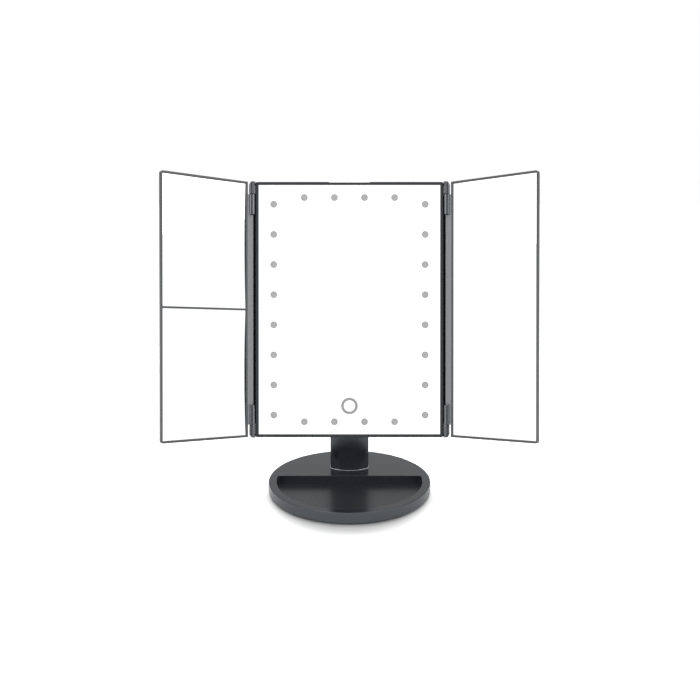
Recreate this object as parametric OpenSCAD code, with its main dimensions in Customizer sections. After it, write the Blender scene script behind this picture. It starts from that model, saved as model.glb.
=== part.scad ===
// Trifold vanity mirror with LED dots, on a tilting stem and a round tray base.
// Millimetres. Origin: centre of the base underside. X right, Y away from the viewer, Z up.

/* [Base] */
// Diameter of the round base
base_d = 150; // [140:1:170]
// Height of the base shell's side wall
base_h = 9.5; // [9:0.5:14]
// How far the anti-slip pad lifts the shell off the table
pad_h = 1.5; // [1.5:0.1:3]
// Width of the rim round the tray
tray_rim = 7.5; // [6:0.5:10]
// Y of the tray's straight back edge
tray_back = 8; // [0:1:8]
// Radius of the tray's two back corners
tray_corner = 4; // [2:0.5:8]

/* [Stem] */
// Width of the stem
stem_w = 36.4; // [34:0.2:42]
// Depth of the stem, front to back
stem_d = 15; // [15:0.5:18]
// Y of the stem's middle and of the tilt axis
stem_y = 27; // [26:0.5:29]
// Bulge of the stem's rounded front
stem_bulge = 6.6; // [3:0.2:7]
// Height of the tilt axis above the table
pivot_z = 93.9; // [92:0.2:110]

/* [Mirror head] */
// Width of the centre frame
panel_w = 170.6; // [166:0.2:190]
// Height of the centre frame
panel_h = 232.2; // [225:0.2:250]
// Depth of the centre casing, bezel to rear cover
panel_t = 11.7; // [11.7:0.1:14]
// Width of the bezel round the centre pane
bezel_w = 2.7; // [2.5:0.1:4]
// Lean of the head from upright in the rest pose
head_tilt = 13.34; // [0:0.5:30]
// Width of the finger notch in the top edge
notch_w = 37; // [20:1:50]

/* [Wings] */
// Thickness of each wing
wing_t = 5.8; // [5.8:0.1:8]
// Swing of each wing towards the viewer from flat
wing_swing = 37; // [0:1:90]
// Width of the flat strip beside the hinge
strip_w = 7.2; // [7.2:0.1:12]
// Width of the thin border above and below the glass
border_w = 1.6; // [1.5:0.1:3]
// Width of the thinner border on the outer side
side_border_w = 1.2; // [1.2:0.1:3]

/* [Lights] */
// Diameter of each light window
dot_d = 5.8; // [4:0.2:7]
// Distance between neighbouring lights
dot_pitch = 27.4; // [26.6:0.1:27.4]
// Lights in each side column
side_dots = 8; // [4:2:8]
// Lights in the top row and in the bottom row
row_dots = 4; // [2:2:4]
// Outer diameter of the touch ring
ring_d = 14.6; // [12:0.2:18]

/* [Batteries] */
// Diameter of one battery cell
cell_d = 14.5; // [13.5:0.1:14.5]
// Length of one battery cell
cell_l = 50.5; // [48:0.1:50.5]

/* [Hidden] */
$fn = 64;
e = 1;

// clearances
seat = 0.05;
free = 0.3;
run_fit = 0.05;

// base
base_r = base_d / 2;
base_z = pad_h;
top_z = base_z + base_h;
wall = 2.2;
top_t = 2;
plate_t = 0.8;
plate_r = base_r - wall - seat;
plate_top = base_z + plate_t;
floor_t = 0.9;
floor_z = plate_top + 0.1 + floor_t;
tub_wall = 1.6;
tray_r = base_r - tray_rim;
boss_inset = 9;
boss_ring = base_r - boss_inset;
boss_r = 3.4;
boss_angles = [20, 65, 115, 160];
plate_screw_r = 1.4;
screw_head_r = 2.8;
screw_head_t = 1.1;
pad_edge = 5;
pad_r = base_r - pad_edge;
ballast_r = boss_ring - boss_r - 0.6;
ballast_t = base_h - top_t - plate_t - 1.2;
ballast_gap = 2;

// stem
stem_r = (pow(stem_w / 2, 2) + pow(stem_bulge, 2)) / (2 * stem_bulge);
stem_front = stem_y - stem_d / 2;
stem_back = stem_y + stem_d / 2;
stem_wall = 2.6;
stem_z = top_z + seat;
lug_r = stem_d / 2;
lug_in = 11.6;
crotch_gap = 3;
crotch_z = pivot_z - lug_r - crotch_gap;
fork_depth = 9;
fork_z = pivot_z - lug_r - fork_depth;
stem_post_r = 4;
stem_post_x = stem_w / 2 - stem_wall - stem_post_r + 0.4;
stem_post_y = stem_back - stem_wall - stem_post_r;
stem_screw_r = 1.5;
stem_screw_l = 11;
foot_flare = 1;
flare_t = 0.6;
bolt_r = 3;
bolt_head_r = 4.2;
bolt_head_t = 2.2;
cap_t = 1.5;
cap_in = stem_w / 2 - cap_t - 0.1;
head_boss_x = 10.6;
head_boss_r = 7.5;

// head frame: x right, y back from the bezel face, z up from the pane's middle
pivot_back = 25;
pivot_edge = 46.1;
pivot_drop = panel_h / 2 - pivot_edge;
panel_x = panel_w / 2;
panel_z = panel_h / 2;
side_wall = 1.6;
lip_t = 0.8;
pane_t = 2;
pane_y = lip_t + pane_t;
pane_x = panel_x - side_wall - 0.2;
pane_z = panel_z - side_wall - 0.2;
rear_t = 2.15;
rear_y = panel_t - rear_t;
carrier_edge_x = 9.3;
carrier_edge_z = 8.1;
carrier_x = panel_x - carrier_edge_x;
carrier_z = panel_z - carrier_edge_z;
carrier_y = pane_y + 2.2;
carrier_t = 1.2;
board_t = 1;
board_w = 8;
column_edge = 16.4;
row_edge = 14.1;
ring_edge = 28.5;
column_x = panel_x - column_edge;
row_z = panel_z - row_edge;
ring_z = -panel_z + ring_edge;
ring_stroke = 1.8;
ring_hole_r = 6.5;
rib_gap = 6.1;
rib_z = -ring_z - ring_hole_r - rib_gap;
rib_w = 10;
rib_x = [-panel_x * 0.47, 0, panel_x * 0.47];
tape_edge = 0.5;
casing_boss_side = 4.5;
casing_boss_x = panel_x - casing_boss_side;
casing_boss_r = 3.2;
casing_boss_edge = 16.1;
casing_boss_end = panel_z - casing_boss_edge;
casing_boss_mid = casing_boss_end * 0.36;
casing_boss_z = [-casing_boss_end, -casing_boss_mid, casing_boss_mid, casing_boss_end];
casing_screw_r = 1.2;

// hinges
hinge_gap = 3.2;
hinge_x = panel_x + hinge_gap;
hinge_y = -0.6;
knuckle_r = 2.8;
cap_h = 11.3;
cap_bottom = panel_z - cap_h + 0.3;
barrel_top = cap_bottom - free;
barrel_l = 19;
strip_z = barrel_top - barrel_l;
pin_r = 1;
hinge_screw_y = 5;
flange_x = hinge_x + 0.8;
flange_y = hinge_y + wing_t + 2 * free;
hinge_screw_edge = 5.7;
hinge_screw_z = panel_z - hinge_screw_edge;

// wings, in their own frame: x out from the hinge axis, y back from the mirror face
wing_in = -1.6;
wing_notch = 4;
wing_out = hinge_x - 0.4;
wing_z = panel_z - 0.4;
wing_back_t = 1.5;
wing_back_inset = 1.3;
wing_back_y = wing_t - wing_back_t;
wing_wall = 0.8;
wing_corner = 2;
wing_window_in = wing_in + strip_w;
wing_glass_in = wing_window_in - 0.7;
wing_glass_out = wing_out - wing_wall - 0.1;
wing_glass_z = wing_z - wing_wall - 0.1;
divider_w = 1.8;
pad_w = 6;
pad_inset = 14;
round_pad_r = 9;
dish_t = 1.4;
upper_curve = 2000;
lower_curve = 1500;

// battery bay
cell_gap = 0.3;
cells = 4;
bay_x = cells * (cell_d + cell_gap) / 2 + 0.4;
bay_rise = 16;
bay_bottom = -pivot_drop + bay_rise;
contact_t = 0.4;
contact_x = cell_d / 2 - 1.25;
contact_y = cell_d / 2 - 2.25;
spring_r = 4.5;
bump_r = 2.5;
spring_h = 2;
bump_h = 0.6;
bay_l = cell_l + 2 * contact_t + spring_h + bump_h + 5 * seat;
bay_top = bay_bottom + bay_l;
bay_wall = 2.5;
cell_y = panel_t + 0.1 + cell_d / 2;
door_y = cell_y + cell_d / 2 + 0.4;
door_t = 2.7;
tongue_w = 1;
tongue_t = 1.4;
box_y = door_y + door_t;

// electronics
ctrl_y = carrier_y + carrier_t + 0.3;
ctrl_left = -16;
ctrl_right = 54;
ctrl_below = 10.5;
ctrl_above = 9.6;
ctrl_bottom = ring_z - ctrl_below;
ctrl_top = ring_z + ctrl_above;
chip_left = 12;
chip_w = 8;
chip_t = 1.4;
driver_left = 25;
driver_w = 4;
driver_t = 1.2;
usb_x = 42;
usb_w = 8.2;
usb_h = 3.2;
switch_x = 45;
switch_rise = 14;
switch_z = -pivot_drop + switch_rise;
switch_travel = 3;
knob_w = 5;

// ---------- shared helpers ----------

// a box from its low and high limits on each axis
module span(x, y, z)
  translate([x[0], y[0], z[0]]) cube([x[1] - x[0], y[1] - y[0], z[1] - z[0]]);

// a round bar along X, Y or Z between two limits
module bar_x(x, y, z, r)
  translate([x[0], y, z]) rotate([0, 90, 0]) cylinder(h = x[1] - x[0], r = r);

module bar_y(x, y, z, r)
  translate([x, y[0], z]) rotate([-90, 0, 0]) cylinder(h = y[1] - y[0], r = r);

module bar_z(x, y, z, r)
  translate([x, y, z[0]]) cylinder(h = z[1] - z[0], r = r);

// a flat panel in the XZ plane between two depths
module slab(y) translate([0, y[1], 0]) rotate([90, 0, 0]) linear_extrude(y[1] - y[0]) children();

module rounded(x, z, r) {
  square([2 * x - 2 * r, 2 * z], center = true);
  square([2 * x, 2 * z - 2 * r], center = true);
  for (sx = [-1, 1], sz = [-1, 1]) translate([sx * (x - r), sz * (z - r)]) circle(r);
}

module on_head()
  translate([0, stem_y, pivot_z]) rotate([-head_tilt, 0, 0])
    translate([0, -pivot_back, pivot_drop]) children();

module on_wing(side)
  on_head() mirror([side < 0 ? 1 : 0, 0, 0])
    translate([hinge_x, hinge_y, 0]) rotate([0, 0, -wing_swing]) children();

module at_corners()
  for (sx = [0, 1], sz = [0, 1]) mirror([sx, 0, 0]) mirror([0, 0, sz]) children();

module ring_of(radius, angles)
  for (a = angles) rotate(a) translate([radius, 0, 0]) children();

module at_dots() {
  for (sx = [-1, 1], i = [0 : side_dots - 1])
    translate([sx * column_x, 0, (i - (side_dots - 1) / 2) * dot_pitch]) children();
  for (sz = [-1, 1], i = [0 : row_dots - 1])
    translate([(i - (row_dots - 1) / 2) * dot_pitch, 0, sz * row_z]) children();
}

// ---------- base ----------

module tray_outline(grow = 0) {
  r = tray_r + grow;
  back = tray_back + grow;
  c = tray_corner + grow;
  cy = back - c;
  cx = sqrt(pow(r - c, 2) - pow(cy, 2));
  k = (r + 2) / (r - c);
  difference() {
    intersection() {
      circle(r, $fn = 180);
      translate([-r, -r]) square([2 * r, r + back]);
    }
    for (s = [-1, 1])
      polygon([[s * cx, cy], [s * cx, back + e], [s * (r + 2), back + e], [s * cx * k, cy * k]]);
  }
  for (s = [-1, 1]) translate([s * cx, cy]) circle(c);
}

module base_shell() color("#2b2d31") difference() {
  union() {
    difference() {
      rotate_extrude($fn = 180)
        polygon([[0, base_z], [base_r - 0.4, base_z], [base_r, base_z + 0.4],
          [base_r, top_z - 0.8], [base_r - 0.8, top_z], [0, top_z]]);
      bar_z(0, 0, [base_z - e, top_z - top_t], base_r - wall, $fn = 180);
    }
    translate([0, 0, floor_z - floor_t]) linear_extrude(top_z - e - floor_z + floor_t)
      tray_outline(tub_wall);
    ring_of(boss_ring, boss_angles) bar_z(0, 0, [plate_top + seat, top_z - e], boss_r);
  }
  translate([0, 0, floor_z]) linear_extrude(base_h) tray_outline();
  ring_of(boss_ring, boss_angles)
    bar_z(0, 0, [base_z, top_z - top_t - 0.5], plate_screw_r + run_fit);
  for (s = [-1, 1])
    bar_z(s * stem_post_x, stem_post_y, [base_z, top_z + e], stem_screw_r + 0.2);
}

module base_plate() color("#8b8f94") difference() {
  bar_z(0, 0, [base_z, plate_top], plate_r, $fn = 180);
  ring_of(boss_ring, boss_angles) bar_z(0, 0, [0, top_z], plate_screw_r + 0.2);
}

module base_plate_screws() color("#9a9da1") ring_of(boss_ring, boss_angles) difference() {
  union() {
    bar_z(0, 0, [base_z - seat - screw_head_t, base_z - seat], screw_head_r);
    bar_z(0, 0, [base_z - 0.1, top_z - top_t - 1], plate_screw_r);
  }
  span([-2, 2], [-0.3, 0.3], [base_z - 1.5, base_z - 0.75]);
  span([-0.3, 0.3], [-2, 2], [base_z - 1.5, base_z - 0.75]);
}

module base_pad() color("#1c1d1f") difference() {
  bar_z(0, 0, [0, base_z - seat], pad_r, $fn = 180);
  ring_of(boss_ring, boss_angles)
    bar_z(0, 0, [base_z - screw_head_t - 0.2, base_z], screw_head_r + 0.4);
}

module ballast() color("#55575a") difference() {
  intersection() {
    bar_z(0, 0, [plate_top + seat, plate_top + seat + ballast_t], ballast_r, $fn = 120);
    span([-base_r, base_r], [tray_back + tub_wall + 0.5, base_r], [0, top_z]);
  }
  span([-stem_post_x - stem_post_r - ballast_gap, stem_post_x + stem_post_r + ballast_gap],
    [stem_post_y - stem_post_r - ballast_gap, stem_post_y + stem_post_r + ballast_gap],
    [0, top_z]);
  ring_of(boss_ring, boss_angles) bar_z(0, 0, [0, top_z], boss_r + 0.5);
}

// ---------- stem ----------

module stem_section(inset) intersection() {
  translate([0, stem_front + stem_r]) circle(stem_r - inset, $fn = 120);
  translate([-stem_w / 2 + inset, stem_front - 2 * e])
    square([stem_w - 2 * inset, stem_d + 2 * e - inset]);
}

module stem() color("#26282b") difference() {
  union() {
    translate([0, 0, stem_z]) linear_extrude(fork_z + e - stem_z) stem_section(0);
    translate([0, 0, stem_z]) linear_extrude(flare_t) stem_section(-foot_flare);
    intersection() {
      span([-stem_w / 2, stem_w / 2], [stem_front, stem_back], [fork_z, pivot_z + lug_r]);
      union() {
        span([-stem_w, stem_w], [stem_front - e, stem_back + e], [fork_z - e, pivot_z]);
        bar_x([-stem_w, stem_w], stem_y, pivot_z, lug_r);
      }
    }
  }
  difference() {
    translate([0, 0, stem_z - e]) linear_extrude(crotch_z - stem_wall - stem_z + e)
      stem_section(stem_wall);
    for (s = [-1, 1]) bar_z(s * stem_post_x, stem_post_y, [stem_z - e, stem_z + stem_screw_l + 5],
      stem_post_r);
  }
  for (s = [-1, 1])
    bar_z(s * stem_post_x, stem_post_y, [stem_z - e, stem_z + stem_screw_l + 2],
      stem_screw_r + run_fit);
  span([-lug_in, lug_in], [stem_front - e, stem_back + e], [crotch_z, pivot_z + 2 * lug_r]);
  bar_x([-stem_w, stem_w], stem_y, pivot_z, bolt_r + run_fit);
  for (s = [0, 1]) mirror([s, 0, 0])
    bar_x([cap_in - bolt_head_t - 0.1, stem_w], stem_y, pivot_z, bolt_head_r + 0.2);
}

module stem_screws() color("#9a9da1") for (s = [-1, 1]) {
  bar_z(s * stem_post_x, stem_post_y, [top_z - top_t - 1.7, top_z - top_t - seat], 3);
  bar_z(s * stem_post_x, stem_post_y, [top_z - top_t - 0.1, stem_z + stem_screw_l], stem_screw_r);
}

module tilt_bolt() color("#a9abae") {
  bar_x([cap_in - bolt_head_t, cap_in - seat], stem_y, pivot_z, bolt_head_r);
  bar_x([-cap_in + 0.3, cap_in - bolt_head_t + 0.1], stem_y, pivot_z, bolt_r);
}

module tilt_nut() color("#a9abae") difference() {
  translate([-cap_in + seat, stem_y, pivot_z]) rotate([0, 90, 0])
    cylinder(h = bolt_head_t - 0.1, r = bolt_head_r, $fn = 6);
  bar_x([-stem_w, 0], stem_y, pivot_z, bolt_r + seat);
}

module tilt_washers() color("#3a3c3f") for (s = [0, 1]) mirror([s, 0, 0]) difference() {
  bar_x([head_boss_x + free, lug_in - seat], stem_y, pivot_z, lug_r - 1);
  bar_x([0, stem_w], stem_y, pivot_z, bolt_r + seat);
}

module bolt_caps() color("#2b2d31") for (s = [0, 1]) mirror([s, 0, 0])
  bar_x([cap_in + seat, stem_w / 2 - 0.1], stem_y, pivot_z, bolt_head_r + 0.1);

// ---------- head: front ----------

module centre_frame() color("#2b2d31") on_head() difference() {
  union() {
    difference() {
      slab([0, rear_y]) rounded(panel_x, panel_z, 1.5);
      span([-panel_x + bezel_w, panel_x - bezel_w], [-e, panel_t],
        [-panel_z + bezel_w, panel_z - bezel_w]);
      span([-panel_x + side_wall, panel_x - side_wall], [lip_t, panel_t],
        [-panel_z + side_wall, panel_z - side_wall]);
    }
    for (sx = [-1, 1], z = casing_boss_z)
      intersection() {
        bar_y(sx * casing_boss_x, [pane_y + 0.1, rear_y - seat], z, casing_boss_r);
        span([-panel_x + 0.5, panel_x - 0.5], [0, panel_t], [-panel_z, panel_z]);
      }
    for (s = [0, 1]) mirror([s, 0, 0])
      span([panel_x - 0.5, flange_x], [flange_y, rear_y], [-barrel_top, barrel_top]);
  }
  span([-notch_w / 2, notch_w / 2], [-e, 5], [panel_z - 0.5, panel_z + e]);
  for (sx = [-1, 1], z = casing_boss_z)
    bar_y(sx * casing_boss_x, [pane_y + 1, panel_t], z, casing_screw_r + run_fit);
  at_corners() bar_x([pane_x - e, panel_x + e], hinge_screw_y, hinge_screw_z, pin_r + 0.2);
}

module centre_mirror() color("#dfe5ea") on_head() difference() {
  span([-pane_x, pane_x], [lip_t + 0.02, pane_y], [-pane_z, pane_z]);
  at_dots() bar_y(0, [0, pane_y + e], 0, dot_d / 2);
  difference() {
    bar_y(0, [0, lip_t + 0.4], ring_z, ring_d / 2);
    bar_y(0, [-e, lip_t + e], ring_z, ring_d / 2 - ring_stroke);
  }
}

module led_windows() color("#b3b3b3") on_head() at_dots()
  bar_y(0, [lip_t + 0.02, pane_y], 0, dot_d / 2 - 0.03);

module touch_ring() color("#b0b0b0") on_head() difference() {
  bar_y(0, [lip_t + 0.02, lip_t + 0.37], ring_z, ring_d / 2 - 0.03);
  bar_y(0, [0, pane_y], ring_z, ring_d / 2 - ring_stroke + 0.03);
}

module touch_pad() color("#c9a24a") on_head() difference() {
  bar_y(0, [pane_y + seat, ctrl_y - seat], ring_z, 5);
  bar_y(0, [pane_y + 0.6, ctrl_y], ring_z, 4);
}

module light_carrier() color("#e8e8e4") on_head() difference() {
  union() {
    span([-carrier_x, carrier_x], [carrier_y, carrier_y + carrier_t], [-carrier_z, carrier_z]);
    for (x = rib_x)
      span([x - rib_w / 2, x + rib_w / 2], [pane_y + 0.6, carrier_y + 0.5], [-rib_z, rib_z]);
  }
  bar_y(0, [0, panel_t], ring_z, ring_hole_r);
  bar_y(-column_x, [0, panel_t], -row_z - 2, 1.2);
}

module led_boards() color("#f1f1ee") on_head() {
  for (sx = [-1, 1])
    span([sx * column_x - board_w / 2, sx * column_x + board_w / 2],
      [carrier_y - seat - board_t, carrier_y - seat], [-row_z + 5, row_z - 5]);
  for (sz = [-1, 1])
    span([-column_x + board_w, column_x - board_w],
      [carrier_y - seat - board_t, carrier_y - seat],
      [sz * row_z - board_w / 2, sz * row_z + board_w / 2]);
}

module led_chips() color("#f5e27a") on_head() at_dots()
  span([-1.75, 1.75], [carrier_y - 2 * seat - board_t - 0.85, carrier_y - 2 * seat - board_t],
    [-1.4, 1.4]);

module mirror_tape() color("#f4f4f4") on_head() for (x = rib_x)
  span([x - rib_w / 2 + tape_edge, x + rib_w / 2 - tape_edge], [pane_y + 0.02, pane_y + 0.57],
    [-rib_z + tape_edge, rib_z - tape_edge]);

// ---------- head: electronics ----------

module control_board() color("#2e6b3c") on_head()
  span([ctrl_left, ctrl_right], [ctrl_y, ctrl_y + board_t], [ctrl_bottom, ctrl_top]);

module board_parts() color("#24262a") on_head() {
  y = ctrl_y + board_t + seat;
  span([chip_left, chip_left + chip_w], [y, y + chip_t], [ring_z - chip_w / 2, ring_z + chip_w / 2]);
  span([driver_left, driver_left + driver_w], [y, y + driver_t],
    [ring_z - driver_w / 2, ring_z + driver_w / 2]);
  span([switch_x - 4, switch_x + 4], [y, y + 1.6], [ctrl_top - 5, ctrl_top - 1]);
  span([-15, -9], [y, y + 1.6], [ctrl_top - 5, ctrl_top - 1]);
}

module wires() color("#b3262a") on_head() {
  wy = ctrl_y + board_t + 0.8;
  bx = -bay_x + 1;
  bz = bay_bottom + 4;
  kz = ctrl_top - 0.8;
  bar_y(bx, [wy, panel_t + 1.4], bz, 0.6, $fn = 24);
  translate([bx, wy, bz]) sphere(0.6, $fn = 24);
  bar_z(bx, wy, [kz + 6, bz], 0.6, $fn = 24);
  translate([bx, wy, kz + 6]) sphere(0.6, $fn = 24);
  bar_x([bx, -12], wy, kz + 6, 0.6, $fn = 24);
  translate([-12, wy, kz + 6]) sphere(0.6, $fn = 24);
  bar_z(-12, wy, [kz, kz + 6], 0.6, $fn = 24);
  for (dx = [-1.5, 1.5])
    bar_z(switch_x + dx, wy, [kz, switch_z - 10 - seat], 0.6, $fn = 24);
  ly = carrier_y + carrier_t + 1;
  bar_y(-column_x, [carrier_y + 0.1, ly], -row_z - 2, 0.6, $fn = 24);
  translate([-column_x, ly, -row_z - 2]) sphere(0.6, $fn = 24);
  bar_z(-column_x, ly, [-row_z - 2, ring_z], 0.6, $fn = 24);
  translate([-column_x, ly, ring_z]) sphere(0.6, $fn = 24);
  bar_x([-column_x, ctrl_left - seat], ly, ring_z, 0.6, $fn = 24);
}

module usb_inlet() color("#b8babd") on_head() {
  y0 = ctrl_y + board_t + seat;
  difference() {
    span([usb_x - usb_w / 2, usb_x + usb_w / 2], [y0, panel_t - 0.1],
      [ring_z - usb_h / 2, ring_z + usb_h / 2]);
    span([usb_x - usb_w / 2 + 0.4, usb_x + usb_w / 2 - 0.4], [y0 + 0.5, panel_t + e],
      [ring_z - usb_h / 2 + 0.4, ring_z + usb_h / 2 - 0.4]);
  }
  span([usb_x - 2.6, usb_x + 2.6], [y0 + 0.2, panel_t - 1], [ring_z - 0.35, ring_z + 0.35]);
}

module switch_body() color("#3b3d40") on_head()
  span([switch_x - 6, switch_x + 6], [carrier_y + carrier_t + 0.2, rear_y - 0.15],
    [switch_z - 10, switch_z + 10]);

module switch_knob() color("#6e7074") on_head() difference() {
  span([switch_x - knob_w / 2, switch_x + knob_w / 2], [rear_y + 0.15, panel_t + 1.5],
    [switch_z - switch_travel / 2 - knob_w / 2, switch_z - switch_travel / 2 + knob_w / 2]);
  for (i = [-1, 0, 1])
    span([switch_x - knob_w, switch_x + knob_w], [panel_t + 1.1, panel_t + 2],
      [switch_z - switch_travel / 2 + i * 1.4 - 0.3, switch_z - switch_travel / 2 + i * 1.4 + 0.3]);
}

// ---------- head: rear ----------

module back_cover() color("#2b2d31") on_head() difference() {
  union() {
    slab([rear_y + seat, panel_t]) rounded(panel_x, panel_z, 1.5);
    difference() {
      slab([rear_y - 1.9, panel_t - e])
        square([2 * pane_x, 2 * pane_z], center = true);
      span([-pane_x + 1.5, pane_x - 1.5], [0, panel_t], [-pane_z + 1.5, pane_z - 1.5]);
      for (sx = [-1, 1], z = casing_boss_z)
        bar_y(sx * casing_boss_x, [0, rear_y + seat], z, casing_boss_r + 0.8);
    }
    span([-bay_x - bay_wall, bay_x + bay_wall], [panel_t - e, box_y],
      [bay_bottom - bay_wall, bay_top + bay_wall]);
    span([-head_boss_x, head_boss_x], [panel_t - e, pivot_back],
      [-pivot_drop - head_boss_r, -pivot_drop + head_boss_r]);
    bar_x([-head_boss_x, head_boss_x], pivot_back, -pivot_drop, head_boss_r);
  }
  span([-bay_x, bay_x], [panel_t, box_y + e], [bay_bottom, bay_top]);
  span([-bay_x, bay_x], [door_y - free, box_y + e], [bay_bottom, bay_top + bay_wall + e]);
  span([-bay_x - tongue_w - free, bay_x + tongue_w + free],
    [door_y - free, door_y + tongue_t + free], [bay_bottom, bay_top + bay_wall + e]);
  bar_x([-stem_w, stem_w], pivot_back, -pivot_drop, bolt_r + run_fit);
  for (sx = [-1, 1], z = casing_boss_z) {
    bar_y(sx * casing_boss_x, [0, panel_t + e], z, casing_screw_r + 0.2);
    bar_y(sx * casing_boss_x, [panel_t - 1.3, panel_t + e], z, 2.6);
  }
  bar_y(-bay_x + 1, [0, panel_t + e], bay_bottom + 4, 0.8);
  span([usb_x - usb_w / 2 - free, usb_x + usb_w / 2 + free], [0, panel_t + e],
    [ring_z - usb_h / 2 - free, ring_z + usb_h / 2 + free]);
  span([switch_x - knob_w / 2 - free, switch_x + knob_w / 2 + free], [0, panel_t + e],
    [switch_z - switch_travel / 2 - knob_w / 2 - free,
     switch_z + switch_travel / 2 + knob_w / 2 + free]);
}

module back_cover_screws() color("#9a9da1") on_head() for (sx = [-1, 1], z = casing_boss_z) {
  bar_y(sx * casing_boss_x, [panel_t - 1.25, panel_t - 0.1], z, 2.3);
  bar_y(sx * casing_boss_x, [pane_y + 2, panel_t - 1.2], z, casing_screw_r);
}

module each_cell() for (i = [0 : cells - 1])
  translate([(i - (cells - 1) / 2) * (cell_d + cell_gap), cell_y, (bay_bottom + bay_top) / 2])
    mirror([0, 0, i % 2]) translate([0, 0, -bay_l / 2]) children();

module battery_cells() color("#2f5fa8") on_head() each_cell() {
  z = 2 * seat + contact_t + spring_h;
  bar_z(0, 0, [z, z + cell_l - 1], cell_d / 2);
  bar_z(0, 0, [z + cell_l - 1.1, z + cell_l], bump_r);
}

module battery_contacts() color("#d4d6d8") on_head() each_cell() {
  span([-contact_x, contact_x], [-contact_y, contact_y], [seat, seat + contact_t]);
  translate([0, 0, seat + contact_t - 0.1]) cylinder(h = spring_h + 0.1, r1 = spring_r, r2 = bump_r);
  span([-contact_x, contact_x], [-contact_y, contact_y],
    [bay_l - seat - contact_t, bay_l - seat]);
  bar_z(0, 0, [bay_l - seat - contact_t - bump_h, bay_l - seat - 0.1], bump_r);
}

module battery_door() color("#303236") on_head() difference() {
  union() {
    span([-bay_x + free, bay_x - free], [door_y, box_y],
      [bay_bottom + free, bay_top + bay_wall]);
    span([-bay_x - tongue_w, bay_x + tongue_w], [door_y, door_y + tongue_t],
      [bay_bottom + free, bay_top + bay_wall]);
  }
  for (i = [0 : 4])
    span([-9, 9], [box_y - 0.7, box_y + e],
      [bay_top - 6 - i * 2.2, bay_top - 5 - i * 2.2]);
}

// ---------- hinges ----------

module hinge_caps() color("#6f7377") on_head() at_corners() difference() {
  union() {
    bar_z(hinge_x, hinge_y, [cap_bottom, panel_z], knuckle_r);
    span([panel_x + seat, hinge_x], [hinge_y, hinge_screw_y + 2.2], [cap_bottom, panel_z]);
  }
  bar_z(hinge_x, hinge_y, [cap_bottom - e, panel_z - 2], pin_r + 0.02);
  bar_x([panel_x, hinge_x - 0.6], hinge_screw_y, hinge_screw_z, pin_r + run_fit);
}

module hinge_screws() color("#9a9da1") on_head() at_corners() {
  bar_x([panel_x - side_wall - 1.1, panel_x - side_wall - seat], hinge_screw_y, hinge_screw_z, 1.8);
  bar_x([panel_x - side_wall - 0.1, hinge_x - 0.9], hinge_screw_y, hinge_screw_z, pin_r);
}

module hinge_pins() color("#c3c5c8") on_head() at_corners()
  bar_z(hinge_x, hinge_y, [barrel_top - 16, panel_z - 2.1], pin_r);

// ---------- wings ----------

// the wing's outline, drawn in from its edge by a given amount
module wing_outline(by = 0) {
  x = [wing_notch + by, wing_out - by];
  z = wing_z - by;
  translate([x[0], -z]) square([x[1] - wing_corner - x[0], 2 * z]);
  translate([x[0], -z + wing_corner]) square([x[1] - x[0], 2 * z - 2 * wing_corner]);
  for (sz = [-1, 1]) translate([x[1] - wing_corner, sz * (z - wing_corner)]) circle(wing_corner);
  translate([wing_in + by, by - strip_z]) square([wing_notch - wing_in + 0.5, 2 * (strip_z - by)]);
}

module wing_frame() difference() {
  union() {
    difference() {
      slab([0, wing_back_y - seat]) wing_outline();
      span([wing_glass_in - 0.1, wing_out - wing_wall], [lip_t, wing_t],
        [-wing_z + wing_wall, wing_z - wing_wall]);
      span([wing_window_in, wing_out - side_border_w], [-e, wing_t],
        [-wing_z + border_w, wing_z - border_w]);
      span([wing_in + wing_wall, wing_glass_in - 1.1], [1.6, wing_t],
        [-strip_z + wing_wall, strip_z - wing_wall]);
    }
    for (s = [0, 1]) mirror([0, 0, s]) {
      bar_z(0, 0, [strip_z - 0.5, barrel_top], knuckle_r);
      span([0, wing_notch + 0.5], [0, knuckle_r], [strip_z - 0.5, barrel_top]);
    }
  }
  for (s = [0, 1]) mirror([0, 0, s])
    bar_z(0, 0, [barrel_top - 16.5, barrel_top + e], pin_r + run_fit);
}

module wing_back() slab([wing_back_y, wing_t]) wing_outline(wing_back_inset);

// a shallow dished disc: front face curves back towards its middle
module dish(curve, reach) {
  sag = curve - sqrt(pow(curve, 2) - pow(reach, 2));
  front = lip_t + seat + sag;
  translate([0, front, 0]) rotate([90, 0, 0]) rotate_extrude($fn = 120) intersection() {
    translate([0, -2 * dish_t]) square([reach + 2, sag + 4 * dish_t]);
    translate([0, curve]) difference() {
      circle(curve + dish_t, $fn = 1440);
      circle(curve, $fn = 1440);
    }
  }
}

module magnifier(curve, z) {
  cx = (wing_glass_in + wing_glass_out) / 2;
  cz = (z[0] + z[1]) / 2;
  reach = sqrt(pow(wing_glass_out - cx, 2) + pow(z[1] - cz, 2));
  intersection() {
    span([wing_glass_in, wing_glass_out], [0, wing_t], z);
    translate([cx, 0, cz]) dish(curve, reach);
  }
}

module magnifier_pad(curve, z) {
  cx = (wing_glass_in + wing_glass_out) / 2;
  cz = (z[0] + z[1]) / 2;
  reach = sqrt(pow(wing_glass_out - cx, 2) + pow(z[1] - cz, 2));
  sag = curve - sqrt(pow(curve, 2) - pow(reach, 2));
  bar_y(cx, [lip_t + 2 * seat + sag + dish_t, wing_back_y - seat], cz, round_pad_r);
}

module left_frame() color("#2b2d31") on_wing(-1) {
  wing_frame();
  span([wing_glass_in - 0.3, wing_out - wing_wall + 0.2], [0, lip_t], [-divider_w / 2, divider_w / 2]);
  span([wing_glass_in - 0.3, wing_out - wing_wall + 0.2], [lip_t - 0.1, wing_back_y - seat],
    [-0.45, 0.45]);
}

module left_back() color("#2b2d31") on_wing(-1) wing_back();

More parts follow.
